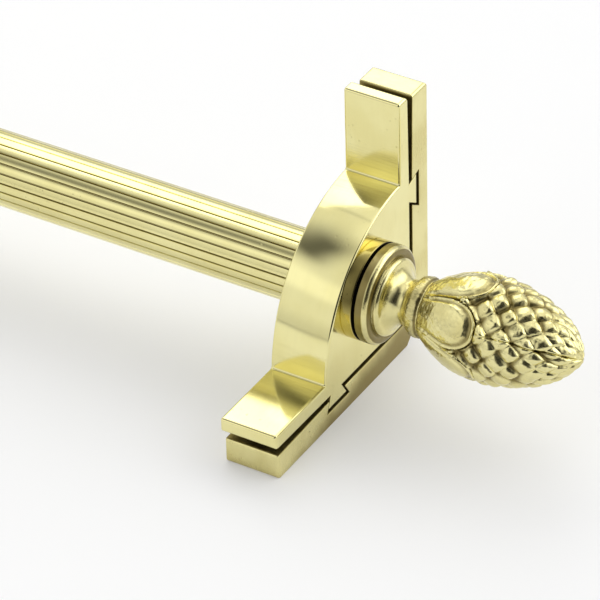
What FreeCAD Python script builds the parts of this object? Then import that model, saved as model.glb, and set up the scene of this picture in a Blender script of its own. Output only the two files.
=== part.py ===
import FreeCAD, Part
import math
import os

import Sketcher

# Stair carpet rod: a reeded tube held across the back of a step by two dovetail brackets.
# X runs along the rod from the middle of its length, +Y points at the riser, Z=0 is the tread.

Vector = FreeCAD.Vector
same_place = 1e-4
slope_step = 0.01
leaf_flank_steps = 3

doc = FreeCAD.newDocument("stair_carpet_rod")
sizes = doc.addObject("Spreadsheet::Sheet", "sizes")

driving_sizes = {
    # reeded tube
    "rod_length": 724.0,
    "rod_radius": 7.94,
    "rod_wall": 1.6,
    "rod_distance": 25.4,
    "rod_stand_out": 0.65,
    "reed_count": 24,
    "reed_groove_width": 0.9,
    "reed_groove_depth": 0.45,
    # bracket, shared by base plate and cover
    "bracket_width": 12.7,
    "leg_length": 61.2,
    # base plate
    "base_thickness": 6.35,
    "base_tip_thickness": 5.9,
    "corner_cut": 9.0,
    "corner_wall": 5.4,
    "screw_place": 51.5,
    "screw_radius": 2.25,
    "screw_sink_radius": 4.1,
    # dovetail slot, measured along the leg from the corner
    "slot_place": 32.8,
    "slot_width": 9.0,
    "slot_floor": 3.5,
    "slot_inner_lean": 1.8,
    "slot_outer_lean": 1.0,
    # cover
    "cover_face": 11.2,
    "cover_gap": 1.2,
    "cover_tip_gap": 2.0,
    "cover_overhang": 0.8,
    "cover_side_lap": 0.5,
    "cover_corner_gap": 1.0,
    "tongue_floor_gap": 1.1,
    "tongue_inner_gap": 0.5,
    "tongue_outer_gap": 0.1,
    "hump_radius": 31.0,
    # collar against the cover's face
    "collar_radius": 10.7,
    "collar_thickness": 2.5,
    "press_clearance": 0.02,
    "running_clearance": 0.06,
    # plug in the tube's end, with a spigot for the finial
    "plug_length": 14.0,
    "plug_recess": 0.4,
    "spigot_radius": 3.0,
    "spigot_length": 9.0,
    "spigot_end_gap": 0.5,
    "seat_clearance": 0.05,
    # finial mouldings
    "finial_length": 47.0,
    "ring_thickness": 2.9,
    "step_radius": 8.3,
    "step_thickness": 1.3,
    "neck_radius": 4.9,
    "neck_place": 6.8,
    "bead_radius": 6.5,
    "bead_place": 9.2,
    "bead_thickness": 2.6,
    # finial cone
    "cone_radius": 11.2,
    "cone_widest": 25.0,
    "cone_tail": 19.5,
    "cone_nose_power": 0.62,
    "cone_turn": 30.0,
    "leaf_count": 6,
    "leaf_base": 10.9,
    "leaf_shoulder": 21.9,
    "leaf_rim": 0.2,
    "leaf_rim_share": 0.86,
    "leaf_groove": 0.55,
    "leaf_groove_share": 0.7,
    "leaf_dome": 0.4,
    "leaf_dome_share": 0.4,
    "leaf_tip_power": 0.7,
    "scale_height": 0.95,
    "scale_depth": 1.1,
    "scale_ridge": 0.4,
    "scale_tip_radius": 3.5,
}

for row, (alias, value) in enumerate(driving_sizes.items(), start=1):
    sizes.set(f"A{row}", alias)
    sizes.set(f"B{row}", str(value))
    sizes.setAlias(f"B{row}", alias)
doc.recompute()


def size(alias):
    return float(sizes.get(alias))


def number(expression):
    return float(sizes.evalExpression(expression))


# Places that several pieces share
arm_length = "(sizes.leg_length + sizes.cover_overhang)"
riser_y = f"(max(sizes.leg_length; {arm_length}) / 2)"
rod_y = f"({riser_y} - sizes.rod_distance)"
face_x = "(sizes.rod_length / 2 - sizes.rod_stand_out - sizes.collar_thickness)"
seat_x = "(sizes.rod_length / 2 + sizes.seat_clearance)"
bore_radius = "(sizes.rod_radius + sizes.running_clearance)"
plug_radius = "(sizes.rod_radius - sizes.rod_wall - sizes.press_clearance)"
slot_end = "(sizes.slot_place + sizes.slot_width)"

outward = {
    "left": FreeCAD.Rotation(Vector(0, 0, 1), 180),
    "right": FreeCAD.Rotation(),
}
side_sign = {"left": "-1", "right": "1"}


def place(piece, x, y, z, rotation):
    piece.Placement = FreeCAD.Placement(Vector(), rotation)
    for axis, expression in zip("xyz", (x, y, z)):
        piece.setExpression(f"Placement.Base.{axis}", expression)


def new_body(label):
    body = doc.addObject("PartDesign::Body", label)
    body.Label = label
    return body


def new_sketch(body, name, plane):
    sketch = body.newObject("Sketcher::SketchObject", name)
    support = next(f for f in body.Origin.OriginFeatures if f.Role == plane)
    sketch.AttachmentSupport = [(support, "")]
    sketch.MapMode = "FlatFace"
    return sketch


def pin_vertex(sketch, edge, vertex, point):
    # hold one vertex of a sketch at a point given by two expressions
    for kind, axis, expression in zip(("DistanceX", "DistanceY"), (-2, -1), point):
        if expression == "0":
            sketch.addConstraint(Sketcher.Constraint("PointOnObject", edge, vertex, axis))
            continue
        value = number(expression)
        index = sketch.addConstraint(Sketcher.Constraint(kind, -1, 1, edge, vertex, value))
        sketch.setExpression(f"Constraints[{index}]", expression)


def arc_between(start, end, radius):
    # the shorter arc that runs counter-clockwise from start to end
    chord = end - start
    rise = math.sqrt(radius ** 2 - chord.Length ** 2 / 4)
    normal = Vector(-chord.y, chord.x, 0).normalize()
    centre = (start + end) / 2 + normal * rise
    circle = Part.Circle(centre, Vector(0, 0, 1), radius)
    return Part.ArcOfCircle(circle, circle.parameter(start), circle.parameter(end))


def set_radius(sketch, edge, expression):
    index = sketch.addConstraint(Sketcher.Constraint("Radius", edge, number(expression)))
    sketch.setExpression(f"Constraints[{index}]", expression)


def draw_circle(sketch, centre, radius):
    middle = Vector(*[number(expression) for expression in centre], 0)
    circle = sketch.addGeometry(Part.Circle(middle, Vector(0, 0, 1), number(radius)))
    pin_vertex(sketch, circle, 3, centre)
    set_radius(sketch, circle, radius)


def draw_profile(sketch, points, last_arc=None):
    # closed outline of straight edges, the last of which can be an arc of a given radius
    corners = [Vector(number(x), number(y), 0) for x, y in points]
    last = len(points) - 1
    for index, start in enumerate(corners):
        end = corners[(index + 1) % len(corners)]
        if index == last and last_arc:
            sketch.addGeometry(arc_between(start, end, number(last_arc)))
        else:
            sketch.addGeometry(Part.LineSegment(start, end))
    for index, point in enumerate(points):
        following = (index + 1) % len(points)
        sketch.addConstraint(Sketcher.Constraint("Coincident", index, 2, following, 1))
        pin_vertex(sketch, index, 1, point)
    if last_arc:
        set_radius(sketch, last, last_arc)


def extruded(label, points, width, last_arc=None):
    # bracket section, extruded across a width
    body = new_body(label)
    section = new_sketch(body, f"{label}_section", "YZ_Plane")
    draw_profile(section, points, last_arc)
    pad = body.newObject("PartDesign::Pad", f"{label}_pad")
    pad.Profile = section
    pad.setExpression("Length", width)
    body.Tip = pad
    return body


def turned(label, points):
    # half section with X along the axis, turned round the X axis
    body = new_body(label)
    section = new_sketch(body, f"{label}_section", "XY_Plane")
    draw_profile(section, points)
    turning = body.newObject("PartDesign::Revolution", f"{label}_turning")
    turning.Profile = section
    turning.ReferenceAxis = (section, ["H_Axis"])
    turning.Angle = 360
    body.Tip = turning
    return body


def mirrored_outline(half):
    # both legs of the bracket: the riser half, then the same points with the two distances swapped
    return half + [(height, depth) for depth, height in reversed(half)]


# Reeded tube
def make_rod():
    tube = new_body("rod_tube")
    ring = new_sketch(tube, "rod_ring", "YZ_Plane")
    for radius in ("sizes.rod_radius", "(sizes.rod_radius - sizes.rod_wall)"):
        draw_circle(ring, ("0", "0"), radius)
    wall = tube.newObject("PartDesign::Pad", "rod_wall_pad")
    wall.Profile = ring
    wall.Midplane = True
    wall.setExpression("Length", "sizes.rod_length")

    groove = new_sketch(tube, "reed_groove", "YZ_Plane")
    floor = "(sizes.rod_radius - sizes.reed_groove_depth)"
    brim = "(sizes.rod_radius + sizes.reed_groove_depth)"
    # the V runs as far above the surface as below it, so its mouth there is half its top
    reach = "sizes.reed_groove_width"
    draw_profile(groove, [(f"(-{reach})", brim), ("0", floor), (reach, brim)])
    cut = tube.newObject("PartDesign::Pocket", "reed_groove_cut")
    cut.Profile = groove
    cut.Midplane = True
    cut.setExpression("Length", "sizes.rod_length + sizes.rod_radius")
    doc.recompute()

    reeds = tube.newObject("PartDesign::PolarPattern", "reeds")
    reeds.Originals = [cut]
    axis = next(f for f in tube.Origin.OriginFeatures if f.Role == "X_Axis")
    reeds.Axis = (axis, [""])
    reeds.Angle = 360
    reeds.setExpression("Occurrences", "sizes.reed_count")
    tube.Tip = reeds
    place(tube, "0", rod_y, "sizes.rod_distance", FreeCAD.Rotation())
    return tube


# Base plate: an L with a cut corner and a dovetail slot in each leg
def base_half():
    inner = "sizes.base_thickness"
    # the inner corner is cut to leave corner_wall of metal along the diagonal
    inner_corner = "(sizes.corner_cut - sizes.base_thickness + sizes.corner_wall * sqrt(2))"
    return [
        ("0", "sizes.corner_cut"),
        ("0", "sizes.leg_length"),
        ("sizes.base_tip_thickness", "sizes.leg_length"),
        (inner, f"({slot_end} - sizes.slot_outer_lean)"),
        ("sizes.slot_floor", slot_end),
        ("sizes.slot_floor", "sizes.slot_place"),
        (inner, "(sizes.slot_place + sizes.slot_inner_lean)"),
        (inner, inner_corner),
    ]


def screw_cutter(label, x, along_riser):
    # straight hole through the leg with a countersink at the leg's inner face
    sink_depth = "(sizes.screw_sink_radius - sizes.screw_radius)"
    shank = doc.addObject("Part::Cylinder", f"{label}_shank")
    shank.setExpression("Radius", "sizes.screw_radius")
    shank.setExpression("Height", "sizes.base_thickness")
    sink = doc.addObject("Part::Cone", f"{label}_sink")
    sink.setExpression("Radius1", "sizes.screw_radius")
    sink.setExpression("Radius2", f"(sizes.screw_sink_radius + {sink_depth})")
    sink.setExpression("Height", f"2 * {sink_depth}")
    sink.setExpression("Placement.Base.z", f"sizes.base_thickness - {sink_depth}")
    cutter = doc.addObject("Part::MultiFuse", label)
    cutter.Shapes = [shank, sink]
    if along_riser:
        place(cutter, x, riser_y, "sizes.screw_place", FreeCAD.Rotation(Vector(1, 0, 0), 90))
    else:
        place(cutter, x, f"({riser_y} - sizes.screw_place)", "0", FreeCAD.Rotation())
    return cutter


def make_base_plate(side):
    width = "sizes.bracket_width"
    blank = extruded(f"{side}_base_blank", mirrored_outline(base_half()), width)
    seat_bracket(blank, side, width)
    middle = f"({side_sign[side]} * ({face_x} - {width} / 2))"
    cutters = doc.addObject("Part::MultiFuse", f"{side}_screw_cutters")
    cutters.Shapes = [
        screw_cutter(f"{side}_tread_screw", middle, False),
        screw_cutter(f"{side}_riser_screw", middle, True),
    ]
    plate = doc.addObject("Part::Cut", f"{side}_base_plate")
    plate.Base = blank
    plate.Tool = cutters
    return plate


def seat_bracket(piece, side, width):
    # the section's depth runs from the riser plane to the front, its width inwards from the outer face
    outer = face_x if side == "right" else f"({width} - {face_x})"
    place(piece, outer, riser_y, "0", FreeCAD.Rotation(Vector(0, 0, 1), 180))


# Cover: two arms and a quarter-round hump, with a tongue for each slot
def cover_half():
    back = "(sizes.base_thickness + sizes.cover_gap)"
    tip_back = "(sizes.base_tip_thickness + sizes.cover_tip_gap)"
    tongue_tip = "(sizes.slot_floor + sizes.tongue_floor_gap)"
    slot_depth = "(sizes.base_thickness - sizes.slot_floor)"
    outer_slope = f"(sizes.slot_outer_lean / {slot_depth})"
    inner_slope = f"(sizes.slot_inner_lean / {slot_depth})"
    outer_flank = f"({slot_end} - sizes.tongue_outer_gap"
    inner_flank = "(sizes.slot_place + sizes.tongue_inner_gap"
    # the cover's inner corner stays clear of the base plate's cut corner
    base_diagonal = "(sizes.corner_cut / sqrt(2) + sizes.corner_wall)"
    corner = f"(({base_diagonal} + sizes.cover_corner_gap) * sqrt(2) - {back})"
    return [
        ("sizes.cover_face", "(sizes.cover_face + sizes.hump_radius)"),
        ("sizes.cover_face", arm_length),
        (tip_back, arm_length),
        (back, f"{outer_flank} - {outer_slope} * ({back} - sizes.slot_floor))"),
        (tongue_tip, f"{outer_flank} - {outer_slope} * sizes.tongue_floor_gap)"),
        (tongue_tip, f"{inner_flank} + {inner_slope} * sizes.tongue_floor_gap)"),
        (back, f"{inner_flank} + {inner_slope} * ({back} - sizes.slot_floor))"),
        (back, corner),
    ]


def make_cover(side):
    label = f"{side}_cover"
    outline = mirrored_outline(cover_half())
    width = "(sizes.bracket_width + sizes.cover_side_lap)"
    # the hump runs from the tread arm's notch back to the riser arm's notch
    cover = extruded(label, outline, width, "sizes.hump_radius")
    bore = new_sketch(cover, f"{label}_bore", "YZ_Plane")
    rod_centre = ("sizes.rod_distance", "sizes.rod_distance")
    draw_circle(bore, rod_centre, bore_radius)
    drilling = cover.newObject("PartDesign::Pocket", f"{label}_drilling")
    drilling.Profile = bore
    drilling.Reversed = True
    drilling.setExpression("Length", width)
    cover.Tip = drilling
    seat_bracket(cover, side, width)
    return cover


def seat_on_rod(piece, side, x):
    place(piece, f"({side_sign[side]} * {x})", rod_y, "sizes.rod_distance", outward[side])


# Collar: a ring round the tube, against the cover's outer face
def make_collar(side):
    section = [
        ("0", bore_radius),
        ("sizes.collar_thickness", bore_radius),
        ("sizes.collar_thickness", "sizes.collar_radius"),
        ("0", "sizes.collar_radius"),
    ]
    collar = turned(f"{side}_collar", section)
    seat_on_rod(collar, side, face_x)
    return collar


# Plug in the tube's end, with a spigot that carries the finial
def make_plug(side):
    spigot_end = "(sizes.plug_length + sizes.plug_recess + sizes.seat_clearance + sizes.spigot_length)"
    section = [
        ("0", "0"),
        (spigot_end, "0"),
        (spigot_end, "sizes.spigot_radius"),
        ("sizes.plug_length", "sizes.spigot_radius"),
        ("sizes.plug_length", plug_radius),
        ("0", plug_radius),
    ]
    plug = turned(f"{side}_end_plug", section)
    seat_on_rod(plug, side, "(sizes.rod_length / 2 - sizes.plug_recess - sizes.plug_length)")
    return plug


# Finial: turned mouldings and neck, then a cone of leaves and scales, in one casting
def make_finial_mouldings():
    step_end = "(sizes.ring_thickness + sizes.step_thickness)"
    bead_end = "(sizes.bead_place + sizes.bead_thickness)"
    # the cone's root lies inside the bead
    section = [
        ("0", "0"),
        (bead_end, "0"),
        (bead_end, "sizes.bead_radius"),
        ("sizes.bead_place", "sizes.bead_radius"),
        ("sizes.bead_place", "sizes.neck_radius"),
        ("sizes.neck_place", "sizes.neck_radius"),
        (step_end, "sizes.step_radius"),
        ("sizes.ring_thickness", "sizes.step_radius"),
        ("sizes.ring_thickness", "sizes.collar_radius"),
        ("0", "sizes.collar_radius"),
    ]
    return turned("finial_mouldings", section)


def cone_envelope(distance):
    # radius over the leaves and scales at a distance from the finial's base
    widest = size("cone_widest")
    if distance < widest:
        share = (widest - distance) / size("cone_tail")
        return size("cone_radius") * (1 - share ** 2)
    share = (distance - widest) / (size("finial_length") - widest)
    return size("cone_radius") * (1 - share ** 2) ** size("cone_nose_power")


def scale_pitch():
    # two scales stand above each leaf
    return math.pi / size("leaf_count")


def cone_point(distance, turn, lift):
    # turn counts scales round the cone, lift is measured from the envelope
    radius = cone_envelope(distance) + lift
    angle = turn * scale_pitch() + math.radians(size("cone_turn"))
    return Vector(distance, radius * math.cos(angle), radius * math.sin(angle))


def valley_point(distance, turn):
    return cone_point(distance, turn, -size("scale_depth") * cone_envelope(distance) / size("cone_radius"))


def scale_rows():
    # distances of the lattice's rings: each step follows the width that a scale has there
    rows = [size("leaf_shoulder")]
    while cone_envelope(rows[-1]) > size("scale_tip_radius"):
        here = rows[-1]
        slope = (cone_envelope(here + slope_step) - cone_envelope(here)) / slope_step
        half_width = scale_pitch() * cone_envelope(here) / 2
        rows.append(here + size("scale_height") * half_width / math.hypot(1, slope))
    return rows


def scale_facets(rows, row, turn):
    # a hipped roof between four nodes of the lattice, its ridge along the cone
    here = rows[row]
    tail = valley_point(rows[row - 1], turn)
    nose = valley_point(rows[row + 1], turn)
    right = valley_point(here, turn + 0.5)
    left = valley_point(here, turn - 0.5)
    low = cone_point(here - (here - rows[row - 1]) * size("scale_ridge"), turn, 0)
    high = cone_point(here + (rows[row + 1] - here) * size("scale_ridge"), turn, 0)
    return [
        (tail, right, low),
        (right, high, low),
        (right, nose, high),
        (nose, left, high),
        (left, low, high),
        (left, tail, low),
    ]


def leaf_outline(rows, share):
    # half-turn path round one leaf, from its base over its tip: share 1 is the valley, 0 the middle
    base = size("leaf_base")
    shoulder = rows[0]
    flank_step = (shoulder - base) / leaf_flank_steps
    corner_share = share ** size("leaf_tip_power")
    half = [(base + flank_step * step, share) for step in range(leaf_flank_steps + 1)]
    half.append((shoulder + (rows[1] - shoulder) * corner_share, corner_share / 2))
    tip = (shoulder + (rows[2] - shoulder) * share, 0.0)
    return half + [tip] + [(distance, -turn) for distance, turn in reversed(half)]


def leaf_facets(rows, turn):
    # a raised rim, a groove inside it and a domed middle
    edge = [valley_point(distance, turn + shift) for distance, shift in leaf_outline(rows, 1.0)]
    loops = [edge]
    levels = [
        (size("leaf_rim_share"), size("leaf_rim")),
        (size("leaf_groove_share"), -size("leaf_groove")),
        (size("leaf_dome_share"), size("leaf_dome")),
        (0.0, size("leaf_dome")),
    ]
    for share, lift in levels:
        path = leaf_outline(rows, share)
        loops.append([cone_point(distance, turn + shift, lift) for distance, shift in path])
    facets = []
    for outer, inner in zip(loops, loops[1:]):
        facets += strip(outer, inner)
    # close the base of the leaf down to the axis, inside the neck
    root = Vector(size("leaf_base"), 0, 0)
    rim = [loop[0] for loop in loops] + [loop[-1] for loop in reversed(loops[:-1])]
    facets += [(start, end, root) for start, end in zip(rim, rim[1:])]
    return facets


def quad_facets(a, b, c, d):
    facets = []
    for corners in ((a, b, c), (a, c, d)):
        sides = zip(corners, corners[1:] + corners[:1])
        if all(start.distanceToPoint(end) > same_place for start, end in sides):
            facets.append(corners)
    return facets


def strip(outer, inner):
    facets = []
    for index in range(len(outer) - 1):
        facets += quad_facets(outer[index], outer[index + 1], inner[index + 1], inner[index])
    return facets


def make_cone():
    rows = scale_rows()
    leaves = int(size("leaf_count"))
    last = len(rows) - 1
    nose = Vector(size("finial_length"), 0, 0)
    facets = []
    for leaf in range(leaves):
        facets += leaf_facets(rows, 2 * leaf)
        facets += scale_facets(rows, 1, 2 * leaf + 1)
    for index in range(2 * leaves):
        for row in range(2, last):
            facets += scale_facets(rows, row, index + (row + 1) % 2 / 2)
        turn = index + last % 2 / 2
        for shift in (0.5, -0.5):
            facets.append((nose, valley_point(rows[last], turn), valley_point(rows[last - 1], turn + shift)))
    shell = Part.makeShell([Part.Face(Part.makePolygon([a, b, c, a])) for a, b, c in facets])
    shell.sewShape()
    cone = Part.makeSolid(shell)
    if cone.Volume < 0:
        cone.reverse()
    return cone


def make_finials():
    cone = doc.addObject("Part::Feature", "finial_cone")
    cone.Shape = make_cone()
    casting = doc.addObject("Part::MultiFuse", "finial_casting")
    casting.Shapes = [make_finial_mouldings(), cone]
    tapping = doc.addObject("Part::Cylinder", "finial_tapping")
    tapping.setExpression("Radius", "sizes.spigot_radius + sizes.running_clearance")
    tapping.setExpression("Height", "sizes.spigot_length + sizes.spigot_end_gap")
    tapping.Placement = FreeCAD.Placement(Vector(), FreeCAD.Rotation(Vector(0, 1, 0), 90))
    tapped = doc.addObject("Part::Cut", "finial_tapped")
    tapped.Base = casting
    tapped.Tool = tapping
    doc.recompute()
    finials = {}
    for side in ("left", "right"):
        finial = doc.addObject("Part::Feature", f"{side}_finial")
        finial.Label = f"{side}_finial"
        finial.Shape = tapped.Shape
        seat_on_rod(finial, side, seat_x)
        finials[side] = finial
    return finials


def make_pair(label, maker):
    # two like pieces that keep still against each other share a node
    pair = doc.addObject("Part::Compound", label)
    pair.Label = label
    pair.Links = [maker(side) for side in ("left", "right")]
    return pair


pieces = [make_rod(), make_pair("base_plates", make_base_plate), make_pair("end_plugs", make_plug)]
finials = make_finials()
for side in ("left", "right"):
    pieces.append(make_cover(side))
    pieces.append(make_collar(side))
    pieces.append(finials[side])
doc.recompute()

for item in doc.Objects:
    if "Invalid" in item.State or "Error" in item.State:
        raise RuntimeError(f"{item.Label} failed: {item.State}")
for piece in pieces:
    if piece.Shape.isNull() or not piece.Shape.isValid():
        raise RuntimeError(f"{piece.Label} has no valid shape")
    expected = len(piece.Links) if piece.TypeId == "Part::Compound" else 1
    if len(piece.Shape.Solids) != expected:
        raise RuntimeError(f"{piece.Label} has {len(piece.Shape.Solids)} solids")

os.makedirs("parts", exist_ok=True)
for piece in pieces:
    piece.Shape.exportStep(f"parts/{piece.Label}.step")
    print(piece.Label, round(piece.Shape.Volume, 1), piece.Shape.BoundBox)
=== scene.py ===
import math

import bmesh
import bpy
from mathutils import Matrix, Vector, noise


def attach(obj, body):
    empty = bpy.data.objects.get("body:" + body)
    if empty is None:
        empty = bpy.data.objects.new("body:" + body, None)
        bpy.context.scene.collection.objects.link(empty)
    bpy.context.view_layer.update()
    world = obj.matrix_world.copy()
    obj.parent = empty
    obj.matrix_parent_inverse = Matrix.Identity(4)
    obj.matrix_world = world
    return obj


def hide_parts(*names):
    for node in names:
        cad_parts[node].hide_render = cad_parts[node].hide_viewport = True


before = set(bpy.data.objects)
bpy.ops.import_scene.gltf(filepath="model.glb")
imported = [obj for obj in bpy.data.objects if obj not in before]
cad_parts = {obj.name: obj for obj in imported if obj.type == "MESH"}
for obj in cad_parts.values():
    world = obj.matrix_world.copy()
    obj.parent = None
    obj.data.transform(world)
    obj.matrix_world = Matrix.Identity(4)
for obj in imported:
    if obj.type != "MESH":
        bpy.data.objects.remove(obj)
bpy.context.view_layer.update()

mm = 0.001
bracket = dict(riserY=31.0, outerX=358.85, width=12.7, coverLap=0.5)  # mm, as packed
rodAxis = dict(y=5.6, z=25.4)
studio = bpy.context.scene
studio.view_settings.view_transform = "Standard"
print("frame loaded:", sorted(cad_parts))


def soft(low, high, value):  # smooth step
    share = min(1.0, max(0.0, (value - low) / (high - low)))
    return share * share * (3 - 2 * share)


class Wire:  # a shader socket that takes part in sums
    def __init__(self, net, socket):
        self.net = net
        self.socket = socket

    def combine(self, operation, first, second):
        return self.net.node("ShaderNodeMath", {"operation": operation}, {0: first, 1: second})

    def __add__(self, other):
        return self.combine("ADD", self, other)

    def __radd__(self, other):
        return self.combine("ADD", other, self)

    def __sub__(self, other):
        return self.combine("SUBTRACT", self, other)

    def __rsub__(self, other):
        return self.combine("SUBTRACT", other, self)

    def __mul__(self, other):
        return self.combine("MULTIPLY", self, other)

    def __rmul__(self, other):
        return self.combine("MULTIPLY", other, self)


class Net:  # one node tree
    def __init__(self, tree):
        self.tree = tree
        tree.nodes.clear()

    def node(self, kind, settings=None, sockets=None, out=0):
        made = self.tree.nodes.new(kind)
        for key, value in (settings or {}).items():
            setattr(made, key, value)
        for key, value in (sockets or {}).items():
            if isinstance(value, Wire):
                self.tree.links.new(value.socket, made.inputs[key])
            else:
                made.inputs[key].default_value = value
        return Wire(self, made.outputs[out]) if len(made.outputs) else made

    def ease(self, value, low, high):  # soft step from 0 at low to 1 at high
        ends = {"Value": value, "From Min": low, "From Max": high}
        return self.node("ShaderNodeMapRange", {"interpolation_type": "SMOOTHSTEP"}, ends)

    def band(self, value, start, full, fall, end):  # 1 from full to fall, 0 before start and after end
        return self.ease(value, start, full) * self.ease(value, end, fall)

    def tint(self, factor, first, second):  # first colour at 0, second at 1
        return self.node("ShaderNodeMix", {"data_type": "RGBA"}, {0: factor, 6: first, 7: second}, out=2)

    def grain(self, scale, stretch=(1, 1, 1), detail=3.0, turn=(0, 0, 0)):  # noise on the piece's own place
        place = self.node("ShaderNodeTexCoord", None, None, "Object")
        place = self.node("ShaderNodeMapping", None, {"Vector": place, "Scale": stretch, "Rotation": turn})
        return self.node("ShaderNodeTexNoise", None, {"Vector": place, "Scale": scale, "Detail": detail}, "Fac")

    def specks(self, scale, size):  # 1 at the middle of a few small cells, 0 elsewhere
        place = self.node("ShaderNodeTexCoord", None, None, "Object")
        spots = self.node("ShaderNodeTexVoronoi", None, {"Vector": place, "Scale": scale}, "Distance")
        return self.ease(spots, size, 0.0)

    def nearLines(self, lines, reach):  # 1 close to lines along X, all in mm
        place = self.node("ShaderNodeTexCoord", None, None, "Object")
        flat = self.node("ShaderNodeVectorMath", {"operation": "MULTIPLY"}, {0: place, 1: (0, 1, 1)})
        total = 0.0
        for line in lines:
            spot = Vector(line) * mm
            away = self.node("ShaderNodeVectorMath", {"operation": "DISTANCE"}, {0: flat, 1: spot}, "Value")
            total = total + self.ease(away, reach[0] * mm, reach[1] * mm)
        return total


def rgba(red, green, blue):
    return (red, green, blue, 1.0)


def newMaterial(name):
    material = bpy.data.materials.new(name)
    material.use_nodes = True
    return material, Net(material.node_tree)


def addBrass(name, look):  # brass with tone patches, brush marks, pits and a faint hand-worked unevenness
    material, net = newMaterial(name)
    patches = net.grain(look["patchScale"], detail=4.0)
    patchMask = net.ease(patches, *look["patchEdges"])
    colour = net.tint(patchMask, rgba(*look["tint"]), rgba(*look["deepTint"]))
    brush = net.grain(1.0, look["brush"], 2.0, look.get("brushTurn", (0, 0, 0)))
    pitted = net.ease(net.grain(look["pitScale"] * look["pitField"]), *look["pitEdges"])  # pits come in clusters
    pits = net.specks(look["pitScale"], look["pitSize"]) * pitted
    colour = net.tint(pits * look["pitDark"], colour, rgba(*look["pitTint"]))
    brushMask = net.ease(brush, *look["brushEdges"])
    colour = net.tint(brushMask * look["brushDark"], colour, rgba(*look["markTint"]))
    rough = look["rough"] + brush * look["brushRough"] + patchMask * look["patchRough"] + pits * look["pitRough"]
    height = brush * look["brushDepth"] + net.grain(look["swellScale"], detail=1.0) * look["swellDepth"]
    height = height - pits * look["pitDepth"]
    if "notches" in look:  # file marks beside the two inside corners, darkened there with painted crease shade
        near = net.nearLines(look["notches"], look["notchReach"])
        marks = net.grain(1.0, look["notchMarks"], 3.0)
        height = height + near * marks * look["notchDepth"]
        rough = rough + near * look["notchRough"]
        # painted crease shade: the marks near the corners are darkened
        dark = near * net.ease(marks, *look["notchEdges"]) * look["notchShade"]
        colour = net.tint(dark, colour, rgba(*look["markTint"]))
    if "shadeMask" in look:  # painted shade where the shade mask attribute is high (hollows, gaps, towards the floor), with random tone patches mixed in
        shadeMask = net.node("ShaderNodeAttribute", {"attribute_name": "shadeMask"}, None, "Fac")
        start, full, depth = look["shadeMask"]
        shadeLevel = net.ease(shadeMask + patches * look["shadePatch"], start, full)
        colour = net.tint(shadeLevel * depth, colour, rgba(*look["shadeTint"]))
        # painted black shade where the mask passes 1, as in the gap before the finial
        blackShade = net.ease(shadeMask, *look["blackShadeEdges"])
        colour = net.tint(blackShade, colour, rgba(*look["blackShadeTint"]))
        rough = rough + shadeLevel * look["shadeRough"] + blackShade * look["blackShadeRough"]
    bump = net.node("ShaderNodeBump", None, {"Strength": 1.0, "Distance": mm, "Height": height})
    shader = net.node("ShaderNodeBsdfPrincipled", None, {
        "Base Color": colour, "Roughness": rough, "Metallic": 1.0, "Normal": bump})
    net.node("ShaderNodeOutputMaterial", None, {"Surface": shader})
    return material


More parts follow.
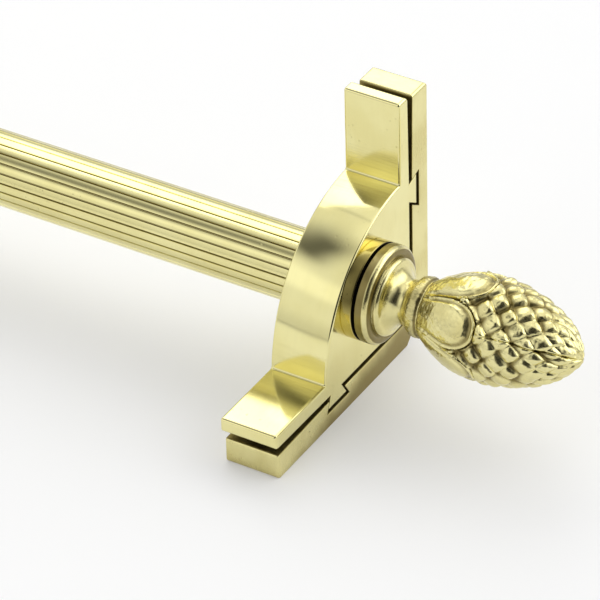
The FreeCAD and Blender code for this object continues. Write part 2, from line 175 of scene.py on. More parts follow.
baseLook = dict(  # scales per metre, depths in mm, edges of masks from 0 to 1
    rough=0.1, tint=(0.86, 0.80, 0.40), deepTint=(0.82, 0.75, 0.35), markTint=(0.5, 0.43, 0.19),
    patchScale=90.0, patchEdges=(0.35, 0.68), patchRough=0.03,
    brush=(60.0, 60.0, 60.0), brushEdges=(0.35, 0.8), brushRough=0.05, brushDark=0.05, brushDepth=0.004,
    pitScale=700.0, pitSize=0.24, pitField=0.13, pitEdges=(0.54, 0.64), pitTint=(0.16, 0.12, 0.04), pitRough=0.25,
    pitDark=0.25, pitDepth=0.008, swellScale=70.0, swellDepth=0.04,
    shadeTint=(0.2, 0.15, 0.045), shadePatch=0.4, shadeRough=0.12,
    blackShadeTint=(0.012, 0.009, 0.005), blackShadeEdges=(1.0, 1.7), blackShadeRough=0.4)
looks = {  # the shade mask setting gives where the painted shade starts and is full, and how much it covers
    "humpPolish": dict(baseLook, rough=0.06, brush=(2600.0, 120.0, 120.0), brushRough=0.05, brushDark=0.03,
                       brushDepth=0.0012, swellScale=60.0, swellDepth=0.05, notchReach=(8.0, 4.0), notchDepth=0.006,
                       notchMarks=(40.0, 1500.0, 1500.0), notchEdges=(0.45, 0.75), notchRough=0.07, notchShade=0.35,
                       notches=[(0, 19.8, 42.2), (0, -11.2, 11.2)]),
    "sideSatin": dict(baseLook, rough=0.12, brush=(900.0, 2600.0, 200.0), brushTurn=(0.75, 0, 0), brushRough=0.1,
                      brushDark=0.05, brushDepth=0.002),
    "plateSatin": dict(baseLook, rough=0.19, brush=(900.0, 2400.0, 180.0), brushTurn=(0.75, 0, 0), brushRough=0.1,
                       brushDark=0.1, brushDepth=0.0025, tint=(0.82, 0.75, 0.36), deepTint=(0.7, 0.62, 0.26),
                       shadeMask=(0.05, 0.6, 0.9), shadeTint=(0.27, 0.21, 0.065)),
    "rawCasting": dict(baseLook, rough=0.35, brush=(700.0, 700.0, 700.0), brushRough=0.2, brushDark=0.3,
                       brushDepth=0.02, tint=(0.3, 0.245, 0.085), deepTint=(0.2, 0.155, 0.05)),
    "drawnReed": dict(baseLook, rough=0.13, brush=(10.0, 2200.0, 2200.0), brushRough=0.12, brushDark=0.08,
                      brushDepth=0.003, shadeMask=(0.35, 0.9, 0.8), shadeTint=(0.28, 0.23, 0.09)),
    "turnedCollar": dict(baseLook, rough=0.07, brush=(2800.0, 100.0, 100.0), brushRough=0.05, brushDark=0.12,
                         brushDepth=0.001, tint=(0.74, 0.63, 0.2), deepTint=(0.64, 0.53, 0.15),
                         shadeMask=(0.25, 0.95, 0.88), shadeTint=(0.1, 0.08, 0.025)),
    "castCone": dict(baseLook, rough=0.14, brush=(900.0, 900.0, 900.0), brushRough=0.16, brushDark=0.15,
                     brushDepth=0.02, pitScale=900.0, pitSize=0.32, pitDark=0.6, pitDepth=0.03,
                     swellScale=420.0, swellDepth=0.1, shadeMask=(0.36, 0.8, 0.92), tint=(0.82, 0.755, 0.375),
                     deepTint=(0.72, 0.64, 0.28), shadeTint=(0.2, 0.155, 0.05)),
    "plugTurned": dict(baseLook, rough=0.3, brush=(3000.0, 150.0, 150.0)),
}
finishes = {name: addBrass(name, look) for name, look in looks.items()}
print("finishes mixed:", len(finishes))


def only(kind, geom):  # the verts, edges or faces in an operator's result
    return [g for g in geom if isinstance(g, kind)]


def everything(bm):
    return bm.verts[:] + bm.edges[:] + bm.faces[:]


def finishPiece(bm, name, materials, body, nodes, sharp=35.0):  # mm mesh to a riding piece
    bmesh.ops.remove_doubles(bm, verts=bm.verts, dist=0.0005)
    bmesh.ops.recalc_face_normals(bm, faces=bm.faces)
    bmesh.ops.scale(bm, verts=bm.verts, vec=(mm, mm, mm))
    mesh = bpy.data.meshes.new(name)
    bm.to_mesh(mesh)
    bm.free()
    for key in materials:
        mesh.materials.append(finishes[key])
    mesh.shade_smooth()
    mesh.set_sharp_from_angle(angle=math.radians(sharp))
    piece = bpy.data.objects.new(name, mesh)
    studio.collection.objects.link(piece)
    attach(piece, body)
    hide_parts(*nodes)
    return piece


def bevelByWeight(piece):  # rounds the weighted edges, 1 mm for a weight of 1
    rounding = piece.modifiers.new("rounding", "BEVEL")
    rounding.limit_method = "WEIGHT"
    rounding.width = mm
    rounding.segments = 4
    rounding.profile = 0.5
    rounding.harden_normals = True
    rounding.use_clamp_overlap = False
    flats = piece.modifiers.new("flats", "WEIGHTED_NORMAL")  # keeps the flat faces flat beside the roundings
    flats.weight = 100
    flats.keep_sharp = True


tube = dict(length=724.0, radius=7.94, wall=1.6, depth=0.36, crown=0.04,
            reed=[0, 0.035, 0.1, 0.125, 0.2, 0.34, 0.5, 0.66, 0.8, 0.875, 0.9, 0.965], reeds=24)  # places in one reed


def reedRadius(place):  # 0 and 1 are the middles of two grooves, 0.5 is the reed's crest
    away = min(place, 1 - place)
    edge = tube["reed"][2]
    if away < edge:
        return tube["radius"] - tube["crown"] - tube["depth"] * min(1.0, (edge - away) / (edge - tube["reed"][1]))
    return tube["radius"] - tube["crown"] * ((0.5 - away) / (0.5 - edge)) ** 2


def placeOnRod(bm):
    bmesh.ops.translate(bm, verts=bm.verts, vec=(0, rodAxis["y"], rodAxis["z"]))


def makeTube():
    bm = bmesh.new()
    toX = Matrix.Rotation(math.radians(90), 4, "Y")
    steps = len(tube["reed"])
    shadeMask = bm.verts.layers.float.new("shadeMask")
    ring = bmesh.ops.create_circle(bm, segments=tube["reeds"] * steps, radius=tube["radius"], matrix=toX)
    for i, vert in enumerate(sorted(ring["verts"], key=lambda v: math.atan2(v.co.z, v.co.y))):
        place = tube["reed"][i % steps]
        angle = 2 * math.pi * (i // steps + place) / tube["reeds"]
        radius = reedRadius(place)
        vert.co = (0, radius * math.cos(angle), radius * math.sin(angle))
        # painted shade in the grooves
        vert[shadeMask] = 1.0 if min(place, 1 - place) < tube["reed"][1] + 0.01 else 0.0
    bmesh.ops.translate(bm, verts=bm.verts, vec=(-tube["length"] / 2, 0, 0))
    first = bm.edges[:]
    far = bmesh.ops.extrude_edge_only(bm, edges=first)["geom"]
    bmesh.ops.translate(bm, verts=only(bmesh.types.BMVert, far), vec=(tube["length"], 0, 0))
    lips = []
    for rim in (first, only(bmesh.types.BMEdge, far)):  # turn each end in to the bore
        lip = bmesh.ops.extrude_edge_only(bm, edges=rim)["geom"]
        for vert in only(bmesh.types.BMVert, lip):
            flat = Vector((0, vert.co.y, vert.co.z))
            flat *= (tube["radius"] - tube["wall"]) / flat.length
            vert.co = (vert.co.x, flat.y, flat.z)
        lips += only(bmesh.types.BMEdge, lip)
    bmesh.ops.bridge_loops(bm, edges=lips)
    placeOnRod(bm)
    finishPiece(bm, "reeded_tube", ["drawnReed"], "rod", ["rod_tube"], 40.0)


makeTube()
print("tube drawn")

plate = dict(  # riser half of the section, as depth from the riser and height from the tread
    half=[(4.5, 4.5), (0, 9), (0, 61.2), (5.9, 61.2), (6.35, 40.8), (3.5, 41.8), (3.5, 32.8), (6.35, 34.6),
          (6.35, 10.287), (8.318, 8.318)],
    tip=61.2, screwPlace=51.5, screwRadius=2.25, sinkRadius=3.95, sinkFrom=4.5, patch=5.1, turns=32,
    taper=0.45 / 20.4, edge=0.28, cornerEdge=0.75, innerEdge=0.45, tipEdge=0.6, slotEdge=0.2,
    shadeLevel=0.95, shadeFall=11.0, fade=70.0, hidden=(2.0, 61.0))
cover = dict(
    half=[(9.0255, 9.0255), (7.55, 10.501), (7.55, 35.858), (4.6, 33.995), (4.6, 41.314), (7.55, 40.279),
          (7.9, 62.0), (11.2, 62.0)],
    tip=62.0, humpCentre=11.2, humpRadius=31.0, humpSteps=44, fillet=0.45, filletSteps=5,
    crown=0.28, crownCuts=10, crownFrom=0.4, crownFull=7.0, boreCentre=25.4, boreRadius=8.0, boreSteps=40,
    edge=0.5, cornerEdge=0.8, innerEdge=0.5, tipEdge=0.75, slotEdge=0.2, hidden=(9.1, 61.9))
rounded = dict(sharp=25.0, slotReach=8.0)  # least angle of a rounded edge, and depth below which it is in a slot


def sectionPoint(depth, height, x):
    return Vector((x, bracket["riserY"] - depth, height))


def sectionOf(co):  # depth and height of a point
    return bracket["riserY"] - co.y, co.z


def extrudeSection(bm, points, width):  # half section at the outer face, carried inwards over the width
    face = bm.faces.new([bm.verts.new(sectionPoint(d, h, bracket["outerX"])) for d, h in points])
    grown = bmesh.ops.extrude_face_region(bm, geom=[face])["geom"]
    bmesh.ops.translate(bm, verts=only(bmesh.types.BMVert, grown), vec=(-width, 0, 0))
    bmesh.ops.holes_fill(bm, edges=[e for e in bm.edges if e.is_boundary])
    onDiagonal = [f for f in bm.faces if all(abs(v.co.z - bracket["riserY"] + v.co.y) < 0.001 for v in f.verts)]
    bmesh.ops.delete(bm, geom=onDiagonal, context="FACES_ONLY")


def addOtherLeg(bm):  # the tread leg is the riser leg with depth and height swapped
    riser = bracket["riserY"]
    swap = Matrix(((1, 0, 0, 0), (0, 0, -1, riser), (0, -1, 0, riser), (0, 0, 0, 1)))
    copy = bmesh.ops.duplicate(bm, geom=everything(bm))["geom"]
    bmesh.ops.transform(bm, matrix=swap, verts=only(bmesh.types.BMVert, copy))
    bmesh.ops.reverse_faces(bm, faces=only(bmesh.types.BMFace, copy))
    bmesh.ops.remove_doubles(bm, verts=bm.verts, dist=0.001)
    bmesh.ops.recalc_face_normals(bm, faces=bm.faces)


def drillLeg(bm):  # countersunk hole through the riser leg, before the legs are doubled
    middle = bracket["outerX"] - bracket["width"] / 2
    reach = plate["patch"]
    cuts = [((0, 0, plate["screwPlace"] + side * reach), (0, 0, 1)) for side in (-1, 1)]
    cuts += [((middle + side * reach, 0, 0), (1, 0, 0)) for side in (-1, 1)]
    for point, normal in cuts:
        bmesh.ops.bisect_plane(bm, geom=everything(bm), plane_co=point, plane_no=normal)
    centre = Vector((middle, 0, plate["screwPlace"]))

    def inPatch(vert):  # within the square round the hole
        return max(abs(vert.co.x - middle), abs(vert.co.z - centre.z)) < reach + 0.01

    loops = []
    for face in bm.faces[:]:
        spot = face.calc_center_median()
        if abs(spot.x - middle) > 0.1 or abs(spot.z - centre.z) > 0.1 or abs(face.normal.y) < 0.9:
            continue
        back = abs(bracket["riserY"] - spot.y) < 1
        radius = plate["screwRadius"] if back else plate["sinkRadius"]
        square = face.edges[:]
        bmesh.ops.delete(bm, geom=[face], context="FACES_ONLY")
        bmesh.ops.subdivide_edges(bm, edges=square, cuts=plate["turns"] // 4 - 1)
        square = [e for e in bm.edges if e.is_boundary and abs(e.verts[0].co.y - spot.y) < 0.4
                  and all(inPatch(v) for v in e.verts)]
        mouth = ringOfEdges(bm, centre, radius, spot.y)
        for vert in {v for e in mouth for v in e.verts}:  # follow the front face's slight taper
            vert.co.y = spot.y + (0 if back else vert.co.z - centre.z) * plate["taper"]
        bmesh.ops.bridge_loops(bm, edges=square + mouth)
        loops.append(mouth)
    throat = ringOfEdges(bm, centre, plate["screwRadius"], bracket["riserY"] - plate["sinkFrom"])
    loops.sort(key=lambda loop: -loop[0].verts[0].co.y)
    bmesh.ops.bridge_loops(bm, edges=loops[0] + throat)
    bmesh.ops.bridge_loops(bm, edges=throat + loops[1])


def ringOfEdges(bm, centre, radius, y):
    upright = Matrix.Translation((centre.x, y, centre.z)) @ Matrix.Rotation(math.radians(90), 4, "X")
    made = bmesh.ops.create_circle(bm, segments=plate["turns"], radius=radius, matrix=upright)
    return list({e for v in made["verts"] for e in v.link_edges})


def weighEdges(bm, sizes, width):  # rounding in mm for each sharp edge of a bracket piece
    weights = bm.edges.layers.float.new("bevel_weight_edge")
    innerX = bracket["outerX"] - width
    for edge in bm.edges:
        if len(edge.link_faces) != 2 or edge.calc_face_angle() < math.radians(rounded["sharp"]):
            continue
        middle = (edge.verts[0].co + edge.verts[1].co) / 2
        deep, far = sorted(sectionOf(middle))
        outside = abs(middle.x - bracket["outerX"]) < 0.01
        atTip = far > sizes["tip"] - 0.01
        inSlot = deep < rounded["slotReach"]
        if abs(middle.x - innerX) < 0.01:
            edge[weights] = sizes["innerEdge"]
        elif outside and atTip:
            edge[weights] = sizes["cornerEdge"]
        elif outside:
            edge[weights] = sizes["slotEdge" if inSlot else "edge"]
        elif atTip:
            edge[weights] = sizes["tipEdge"]
        elif inSlot:
            edge[weights] = sizes["slotEdge"]


def makePlates():
    bm = bmesh.new()
    extrudeSection(bm, plate["half"], bracket["width"])
    bmesh.ops.recalc_face_normals(bm, faces=bm.faces)
    drillLeg(bm)
    addOtherLeg(bm)
    weighEdges(bm, plate, bracket["width"])
    shadeMask = bm.verts.layers.float.new("shadeMask")
    for vert in bm.verts:  # painted shade, darker towards the floor and the riser
        depth, height = sectionOf(vert.co)
        vert[shadeMask] = plate["shadeLevel"] - height / plate["shadeFall"] - depth / plate["fade"]
    for face in bm.faces:  # faces hidden by the cover are left rough
        low, far = sorted(sectionOf(face.calc_center_median()))
        hidden = low > plate["hidden"][0] and far < plate["hidden"][1]
        face.material_index = 1 if abs(face.normal.x) < 0.5 and hidden else 0
    mesh = bpy.data.meshes.new("plate_half")
    bm.to_mesh(mesh)
    bm.free()
    whole = bmesh.new()
    whole.from_mesh(mesh)
    bmesh.ops.scale(whole, verts=whole.verts, vec=(-1, 1, 1))  # the left plate
    bmesh.ops.reverse_faces(whole, faces=whole.faces)
    whole.from_mesh(mesh)
    bpy.data.meshes.remove(mesh)
    piece = finishPiece(whole, "base_plate_pair", ["plateSatin", "rawCasting"], "fixed_plates",
                        ["base_plates"], 30.0)
    bevelByWeight(piece)


def coverOutline():
    points = list(cover["half"])
    centre, radius, fillet = cover["humpCentre"], cover["humpRadius"], cover["fillet"]
    for step in range(cover["filletSteps"]):  # small fillet in the inside corner
        angle = math.radians(180 + 90 * step / cover["filletSteps"])
        points.append((centre + fillet * (1 + math.cos(angle)), centre + radius + fillet * (1 + math.sin(angle))))
    start = 90 - math.degrees(math.asin(fillet / radius))
    for step in range(cover["humpSteps"] + 1):  # hump, from the riser arm to the diagonal
        angle = math.radians(start - (start - 45) * step / cover["humpSteps"])
        points.append((centre + radius * math.cos(angle), centre + radius * math.sin(angle)))
    for step in range(cover["boreSteps"] + 1):  # half of the bore
        angle = math.radians(45 + 180 * step / cover["boreSteps"])
        points.append((cover["boreCentre"] + cover["boreRadius"] * math.cos(angle),
                       cover["boreCentre"] + cover["boreRadius"] * math.sin(angle)))
    return points


def crownHump(bm, width):  # the hump falls a little towards its two rims
    half = width / 2
    for step in range(1, cover["crownCuts"]):
        x = bracket["outerX"] - width * step / cover["crownCuts"]
        bmesh.ops.bisect_plane(bm, geom=everything(bm), plane_co=(x, 0, 0), plane_no=(1, 0, 0))
    for vert in bm.verts:
        depth, height = sectionOf(vert.co)
        reach = Vector((depth - cover["humpCentre"], height - cover["humpCentre"]))
        low = min(reach)
        if low < cover["crownFrom"] or abs(reach.length - cover["humpRadius"]) > 0.05:
            continue
        share = (vert.co.x - bracket["outerX"] + half) / half
        fall = cover["crown"] * share ** 2 * soft(cover["crownFrom"], cover["crownFull"], low)
        reach *= 1 - fall / cover["humpRadius"]
        vert.co = sectionPoint(cover["humpCentre"] + reach.x, cover["humpCentre"] + reach.y, vert.co.x)


def makeCover(side):
    bm = bmesh.new()
    width = bracket["width"] + bracket["coverLap"]
    extrudeSection(bm, coverOutline(), width)
    addOtherLeg(bm)
    crownHump(bm, width)
    weighEdges(bm, cover, width)
    for face in bm.faces:  # satin ends, rough under the cover, polished elsewhere
        low, far = sorted(sectionOf(face.calc_center_median()))
        hidden = low < cover["hidden"][0] and far < cover["hidden"][1]
        face.material_index = 1 if abs(face.normal.x) > 0.9 else 2 if hidden else 0
    if side == "left":
        bmesh.ops.scale(bm, verts=bm.verts, vec=(-1, 1, 1))
    piece = finishPiece(bm, f"{side}_cover_cast", ["humpPolish", "sideSatin", "rawCasting"], f"{side}_sliding_cover",
                        [f"{side}_cover"], 30.0)
    bevelByWeight(piece)


def turnProfile(bm, points, steps, closed):  # spins a profile of distance and radius about the rod's line
    verts = [bm.verts.new((s, r, 0)) for s, r in points]
    ends = verts[1:] + verts[:1] if closed else verts[1:]
    edges = [bm.edges.new(pair) for pair in zip(verts, ends)]
    bmesh.ops.spin(bm, geom=verts + edges, cent=(0, 0, 0), axis=(1, 0, 0), angle=2 * math.pi, steps=steps,
                   use_merge=True)
    bmesh.ops.remove_doubles(bm, verts=bm.verts, dist=0.0005)


collar = dict(bore=8.0, radius=10.7, thickness=2.5, ease=0.14, steps=160, shadeAngle=0.86, shadePower=4)


def outwards(bm, side, x):  # sets a turned piece on its end of the rod
    if side == "left":
        bmesh.ops.rotate(bm, verts=bm.verts, cent=(0, 0, 0), matrix=Matrix.Rotation(math.pi, 3, "Z"))
        x = -x
    bmesh.ops.translate(bm, verts=bm.verts, vec=(x, 0, 0))
    placeOnRod(bm)


def makeCollar(side):
    bm = bmesh.new()
    outer, deep = collar["radius"], collar["thickness"]
    ease = collar["ease"]  # its corners are just broken
    profile = [(0, collar["bore"]), (0, outer - ease), (ease, outer), (deep - 2 * ease, outer),
               (deep - 0.8 * ease, outer - 0.4 * ease), (deep, outer - 1.4 * ease), (deep, collar["bore"])]
    turnProfile(bm, profile, collar["steps"], True)
    shadeMask = bm.verts.layers.float.new("shadeMask")
    facing = Vector((0, -math.sin(collar["shadeAngle"]), math.cos(collar["shadeAngle"])))
    for vert in bm.verts:  # painted black shade on the face in the gap before the finial, and a painted dark reflection on the side facing up and to the front
        around = Vector((0, vert.co.y, vert.co.z)).normalized().dot(facing)
        vert[shadeMask] = 2.0 if vert.co.x > deep - 0.01 else max(0.0, around) ** collar["shadePower"]
    outwards(bm, side, bracket["outerX"])
    finishPiece(bm, f"{side}_collar_ring", ["turnedCollar"], f"{side}_sliding_cover",
                [f"{side}_collar"])


makePlates()
for side in ("left", "right"):
    makeCover(side)
    makeCollar(side)
print("brackets filed and polished")

finial = dict(  # mm from the seat, turns in scales round the cone
    seed=8, seat=362.05, length=47.0, steps=320, coneStart=12.0, coneStep=0.18, coneRadius=11.2, widest=25.0,
    tail=19.5, nosePower=0.62, turn=30.0,
    leaves=6, leafRoot=11.8, leafFull=15.5, leafRound=18.5, leafTip=27.4, leafPower=2.3, leafDrop=0.95, bow=0.2,
    groove=0.42, grooveEdges=(0.68, 0.84), rim=0.5, rimEdges=(0.86, 0.93), brink=0.9, brinkEdges=(0.955, 1.0),
    rowStart=24.05, rowPitch=2.75, scaleDepth=1.8, scaleLeast=0.3, scaleReach=1.15, scaleCorner=1.42, scalePower=0.68,
    scaleFlat=1.25, scaleFill=0.12, scaleBlend=0.15, scaleWander=0.3, scaleLean=0.46, scaleTilt=0.4, scaleLift=0.25,
    tipRadius=2.6, tipShare=0.3, seam=4.0, seamDrift=0.1, seamStep=0.34, seamReach=1.2, seamDepth=0.4, seamHalf=0.2,
    casting=0.15, hollowShadeDepth=1.2, lumps=((0.5, 0.6), (1.3, 0.4), (2.2, 0.2)),
    beadFrom=8.7, beadRough=0.025, beadFine=0.012)
mouldings = [  # distance from the seat and radius
    (0, 3.06), (0, 10.5), (0.1, 10.66), (0.22, 10.7), (1.0, 10.7), (1.6, 10.7), (1.85, 10.68), (2.1, 10.6),
    (2.35, 10.46), (2.55, 10.27), (2.72, 10.02), (2.84, 9.72), (2.9, 9.4), (2.9, 8.8), (2.75, 8.66), (2.75, 8.5),
    (3.0, 8.38), (3.3, 8.42), (3.6, 8.36), (3.9, 8.15), (4.1, 7.85), (4.2, 7.5), (4.22, 7.2), (4.4, 6.85),
    (4.75, 6.32), (5.2, 5.8), (5.7, 5.38), (6.2, 5.1), (6.8, 4.92), (7.4, 4.9), (7.9, 5.02), (8.4, 5.32),
    (8.75, 5.65), (9.0, 5.95), (9.3, 6.2), (9.6, 6.36), (10.0, 6.46), (10.4, 6.5), (10.8, 6.5), (11.2, 6.46),
    (11.5, 6.36), (11.75, 6.2)]
mouldingShades = [  # start, end and depth of painted shade along the mouldings: 2 is painted black shade in the gap, the last is painted shade in the crease behind the leaves
    (0.0, 0.1, 2.0), (0.1, 1.7, 0.55), (2.7, 2.98, 0.6), (8.7, 11.4, 0.3), (11.4, 48.0, 0.6)]


def coneRadius(s):  # envelope over leaves and scales
    if s < finial["widest"]:
        share = (finial["widest"] - s) / finial["tail"]
        return finial["coneRadius"] * (1 - share ** 2)
    share = (s - finial["widest"]) / (finial["length"] - finial["widest"])
    return finial["coneRadius"] * max(0.0, 1 - share ** 2) ** finial["nosePower"]


def coneProfile():  # points along the envelope, evenly spaced
    points = []
    probe, least = 0.005, 0.006
    s = finial["coneStart"]
    while s < finial["length"]:
        points.append((s, coneRadius(s)))
        slope = (coneRadius(min(s + probe, finial["length"])) - coneRadius(s)) / probe
        s = round(s + max(least, finial["coneStep"] / math.hypot(1, slope)), 3)  # kept exact, so it can be looked up
    return points + [(finial["length"], 0.0)]


def rowTable(points):  # row number of the scale lattice along the profile
    rows = {}
    travelled = 0.0
    last = points[0]
    for point in points:
        travelled += math.dist(last, point)
        rows[round(point[0], 3)] = travelled / finial["rowPitch"]
        last = point
    first = min(rows, key=lambda s: abs(s - finial["rowStart"]))
    return {s: row - rows[first] for s, row in rows.items()}


def leafHeight(share, s):  # share 0 on the leaf's middle line, 1 at its edge
    dome = -finial["bow"] * share ** 2 - finial["groove"] * soft(*finial["grooveEdges"], share)
    rim = finial["rim"] * soft(*finial["rimEdges"], share)
    brink = -finial["brink"] * soft(*finial["brinkEdges"], share)
    return (dome + rim + brink) * soft(finial["leafRoot"], finial["leafFull"], s)


def runTogether(one, other, reach):  # the higher of two, with the crease filled
    return max(one, other) + max(0.0, reach - abs(one - other)) ** 2 / (4 * reach)


def scaleHeight(row, turn, s):  # highest of the scales near a place on the lattice
    depth = finial["scaleDepth"] * max(finial["scaleLeast"], coneRadius(s) / finial["coneRadius"])
    corner, loose, blend = finial["scaleCorner"], finial["scaleWander"], finial["scaleBlend"]
    best = 0.0
    for whole in range(math.floor(row) - 1, math.floor(row) + 3):
        shift = 0.0 if whole % 2 else 0.5  # every other row is staggered
        middle = round(turn - shift) + shift
        wander = noise.noise_vector((whole * 1.7, (middle % (2 * finial["leaves"])) * 2.3, 4.2))  # one for each scale
        size = 1 + loose * wander.z
        along = (row - whole - loose * wander.x) / size
        across = (2 * (turn - middle) - loose * wander.y) / size
        away = abs(along) ** corner + abs(across) ** corner  # a rounded diamond
        away = away ** (2 / corner) / finial["scaleReach"] ** 2
        if away >= 1:
            continue
        dome = (1 - away ** finial["scaleFlat"]) ** finial["scalePower"]
        lean = finial["scaleLean"] * along + finial["scaleTilt"] * (wander.z * across + wander.x * along)
        best = runTogether(best, dome * (1 + lean + finial["scaleLift"] * wander.y), blend)
    return (runTogether(best, finial["scaleFill"], blend) - 1.0) * depth


def seamHeight(s, turn):  # the two halves of the mould met a little out of line
    height = 0.0
    for line in (finial["seam"], finial["seam"] + finial["leaves"]):
        drift = line + finial["seamDrift"] * noise.noise((s * 0.22, line, 1.0)) - turn
        away = drift * math.pi / finial["leaves"] * coneRadius(s)
        if abs(away) > 3:
            continue
        if away > 0:
            height += finial["seamStep"] * math.exp(-away / finial["seamReach"])
        height -= finial["seamDepth"] * math.exp(-(away / finial["seamHalf"]) ** 2)
    return height * soft(finial["leafTip"] - 0.2, finial["leafTip"] + 0.8, s)


def coneHeight(s, row, turn):  # from the envelope, on a leaf, between leaves or among the scales
    share = abs(turn - 2 * round(turn / 2))
    if s > finial["leafRound"]:
        past = (s - finial["leafRound"]) / (finial["leafTip"] - finial["leafRound"])
        share = (share ** finial["leafPower"] + past ** finial["leafPower"]) ** (1 / finial["leafPower"])
    if share < 1:
        return leafHeight(share, s)
    floor = -finial["leafDrop"] * soft(finial["leafRoot"], finial["leafFull"], s)
    if s < finial["rowStart"] - 2:
        return floor
    return max(scaleHeight(row, turn, s), floor * 1.25) + seamHeight(s, turn)


def lumpiness(co):  # unevenness of the casting
    return sum(noise.noise(co * pitch) * share for pitch, share in finial["lumps"])


def mouldingShade(s):
    for start, end, depth in mouldingShades:
        if start <= s < end:
            return depth
    return 0.0


def sculptFinial():
    noise.seed_set(finial["seed"])  # the same scales at each run
    bm = bmesh.new()
    probe = 0.01
    points = coneProfile()
    rows = rowTable(points)
    turnProfile(bm, mouldings + points, finial["steps"], False)
    shadeMask = bm.verts.layers.float.new("shadeMask")
    for vert in bm.verts:
        s = vert.co.x
        radius = math.hypot(vert.co.y, vert.co.z)
        rough = lumpiness(vert.co)
        key = round(s, 3)
        if radius < 0.01 or key not in rows:  # mouldings, and the very tip
            if radius > 0.01 and s > finial["beadFrom"]:  # the bead is rough from the mould
                chased = 1 + finial["beadRough"] * rough + finial["beadFine"] * noise.noise(vert.co * 3.1)
                vert.co.yz = (vert.co.y * chased, vert.co.z * chased)
            # painted shade along the mouldings
            vert[shadeMask] = mouldingShade(s)
            continue
        angle = math.degrees(math.atan2(vert.co.z, vert.co.y))
        turn = ((angle - finial["turn"]) / 180 * finial["leaves"]) % (2 * finial["leaves"])
        height = coneHeight(s, rows[key], turn)
        atTip = finial["tipShare"]  # the scales are lower at the nose
        height *= atTip + (1 - atTip) * soft(0.2, finial["tipRadius"], radius)
        height += finial["casting"] * rough
        slope = (coneRadius(min(s + probe, finial["length"])) - coneRadius(s - probe)) / (2 * probe)
        lean = Vector((-slope, 1)).normalized()
        out = radius + height * lean.y
        vert.co = (s + height * lean.x, vert.co.y / radius * out, vert.co.z / radius * out)
        # painted shade, deeper in the hollows between scales and leaves
        vert[shadeMask] = min(1.0, max(0.0, -height / finial["hollowShadeDepth"]))
    return bm


def makeFinial(side, bm):
    outwards(bm, side, finial["seat"])
    finishPiece(bm, f"{side}_finial_cast", ["castCone"], f"{side}_finial_unit",
                [f"{side}_finial"], 60.0)


sculpted = sculptFinial()
makeFinial("left", sculpted.copy())
makeFinial("right", sculpted)
print("finials cast")

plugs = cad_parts["end_plugs"]
plugs.data.materials.clear()
plugs.data.materials.append(finishes["plugTurned"])

table = dict(
    size=4.0, drop=0.00005, rough=0.6, colour=(0.96, 0.96, 0.96), mottle=(0.94, 0.94, 0.935), mottleScale=40.0,
    mottleShare=0.3, far=(0.5, 0.5, 0.5), pale=0.2, grey=0.9, lift=0.28)


def makeFloor():
    bm = bmesh.new()
    bmesh.ops.create_grid(bm, x_segments=2, y_segments=2, size=table["size"])
    bmesh.ops.translate(bm, verts=bm.verts, vec=(0, 0, -table["drop"]))
    mesh = bpy.data.meshes.new("table_top")
    bm.to_mesh(mesh)
    bm.free()
    floor = bpy.data.objects.new("table_top", mesh)
    studio.collection.objects.link(floor)
    material, net = newMaterial("paleTable")
    mottle = net.grain(table["mottleScale"]) * table["mottleShare"]
    colour = net.tint(mottle, rgba(*table["colour"]), rgba(*table["mottle"]))
    place = net.node("ShaderNodeTexCoord", None, None, "Object")
    across = net.node("ShaderNodeSeparateXYZ", None, {0: place}, "Y")
    away = net.node("ShaderNodeMath", {"operation": "ABSOLUTE"}, {0: across})
    colour = net.tint(net.ease(away, table["pale"], table["grey"]), colour, rgba(*table["far"]))
    shader = net.node("ShaderNodeBsdfPrincipled", None, {"Base Color": colour, "Roughness": table["rough"]})
    seen, mirrored, through = (net.node("ShaderNodeLightPath", None, None, f"Is {kind} Ray")
                               for kind in ("Camera", "Glossy", "Transmission"))
    lift = (seen + mirrored + through) * table["lift"]  # eases the shadow and lights nothing
    white = net.node("ShaderNodeEmission", None, {"Color": colour})
    shader = net.node("ShaderNodeMixShader", None, {0: lift, 1: shader, 2: white})
    net.node("ShaderNodeOutputMaterial", None, {"Surface": shader})
    mesh.materials.append(material)


room = dict(  # level of each part of the tent, and where it starts and ends in degrees round and up
    level=0.885, least=0.03, wall=0.78, upper=0.22, upperRise=(0, 14),
    glow=0.27, glowTurn=(-75, -55, -18, -8), glowRise=(22, 29, 35, 42),
    back=0.1, backTurn=(95, 130), backRise=(22, 36), low=0.42, lowTurn=(85, 115), lowRise=(30, 0),
    side=1.6, sideTurn=(85, 105, 150, 175), sideRise=(5, 20, 50, 62), top=0.3, topRise=(67, 77),
    openTurn=(-14, 12), openLow=(88, 50), openHigh=(138, 52), openWiden=(28, 60), openRise=(82, 66),
    dark=0.88, darkTurn=(-95, -52, -50, -28), darkRise=(40, 49, 57, 72),
    pole=0.3, poleTurn=-111.0, poleWidth=(3.4, 1.4), poleRise=(40, 50))


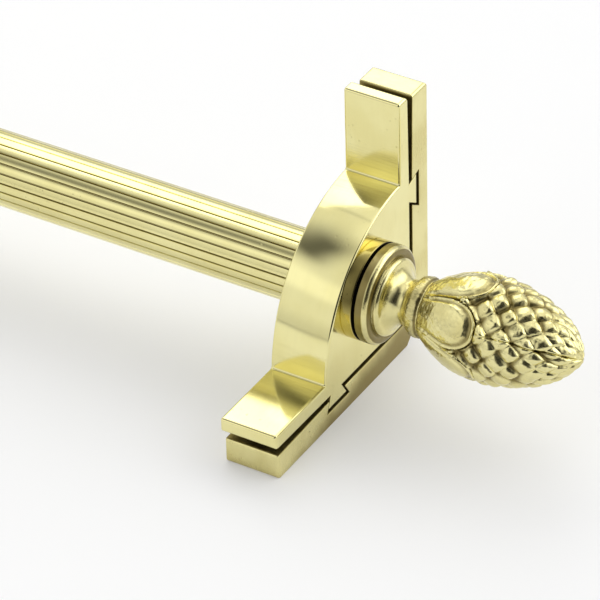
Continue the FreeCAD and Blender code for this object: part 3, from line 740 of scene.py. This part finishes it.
def makeRoom():  # bright tent, dark on the camera's side and in a patch at the left, by degrees round and up
    world = bpy.data.worlds.new("tent")
    studio.world = world
    world.use_nodes = True
    net = Net(world.node_tree)
    way = net.node("ShaderNodeTexCoord", None, None, "Generated")
    toX, toY, toZ = (net.node("ShaderNodeSeparateXYZ", None, {0: way}, axis) for axis in "XYZ")
    degrees = math.degrees(1)
    turn = net.node("ShaderNodeMath", {"operation": "ARCTAN2"}, {0: toX, 1: toY * -1.0}) * degrees
    rise = net.node("ShaderNodeMath", {"operation": "ARCSINE"}, {0: toZ}) * degrees
    apart = net.node("ShaderNodeMath", {"operation": "ABSOLUTE"}, {0: turn})
    level = room["wall"] + net.ease(rise, *room["upperRise"]) * room["upper"]
    glow = net.band(rise, *room["glowRise"]) * net.band(turn, *room["glowTurn"])
    back = net.ease(rise, *room["backRise"]) * net.ease(apart, *room["backTurn"])
    side = net.band(turn, *room["sideTurn"]) * net.band(rise, *room["sideRise"])
    level = level + glow * room["glow"] + back * room["back"] + side * room["side"]
    low = net.ease(apart, *room["lowTurn"]) * net.ease(rise, *room["lowRise"])
    level = level + net.ease(rise, *room["topRise"]) * room["top"] - low * room["low"]
    high = net.ease(rise, *room["openWiden"])
    far = net.ease(turn, *room["openLow"]) * (1.0 - high) + net.ease(turn, *room["openHigh"]) * high
    opening = net.ease(turn, *room["openTurn"]) * far * net.ease(rise, *room["openRise"])
    patch = net.band(turn, *room["darkTurn"]) * net.band(rise, *room["darkRise"])
    aside = net.node("ShaderNodeMath", {"operation": "ABSOLUTE"}, {0: turn - room["poleTurn"]})
    pole = net.ease(aside, *room["poleWidth"]) * net.ease(rise, *room["poleRise"])
    dark = patch * room["dark"] + pole * room["pole"]
    shadow = net.node("ShaderNodeMath", {"operation": "MAXIMUM"}, {0: opening, 1: dark})
    level = level * room["level"] * (1.0 - shadow) + room["least"]
    shade = net.node("ShaderNodeBackground", None, {"Color": rgba(1, 1, 1), "Strength": level})
    net.node("ShaderNodeOutputWorld", None, {"Surface": shade})


keyLamp = dict(place=(-0.39, 0.92, 1.11), aim=(0.33, 0.0, 0.02), size=1.15, power=5.1)


def makeLamps():
    lamp = bpy.data.lights.new("softbox", "AREA")
    lamp.shape = "SQUARE"
    lamp.size = keyLamp["size"]
    lamp.energy = keyLamp["power"]
    holder = bpy.data.objects.new("softbox", lamp)
    place = Vector(keyLamp["place"])
    aim = Vector(keyLamp["aim"]) - place
    holder.matrix_world = Matrix.Translation(place) @ aim.to_track_quat("-Z", "Y").to_matrix().to_4x4()
    studio.collection.objects.link(holder)


shot = dict(azimuth=31.93, elevation=35.89, roll=-1.57, distance=0.92597, target=(0.3464, -0.0003, 0.02167),
            focal=270.0, film=36.0)


def makeCamera():
    turn, rise, roll = (math.radians(shot[key]) for key in ("azimuth", "elevation", "roll"))
    back = Vector((math.sin(turn) * math.cos(rise), -math.cos(turn) * math.cos(rise), math.sin(rise)))
    right = Vector((math.cos(turn), math.sin(turn), 0))
    up = back.cross(right)
    level = right * math.cos(roll) + up * math.sin(roll)
    upright = up * math.cos(roll) - right * math.sin(roll)
    lens = bpy.data.cameras.new("photo_lens")
    lens.lens = shot["focal"]
    lens.sensor_width = shot["film"]
    lens.clip_start = 0.05
    camera = bpy.data.objects.new("photo_camera", lens)
    stand = Matrix((level, upright, back)).transposed().to_4x4()
    camera.matrix_world = Matrix.Translation(Vector(shot["target"]) + back * shot["distance"]) @ stand
    studio.collection.objects.link(camera)
    studio.camera = camera


makeFloor()
makeRoom()
makeLamps()
makeCamera()
print("table, tent, lamp and camera set")
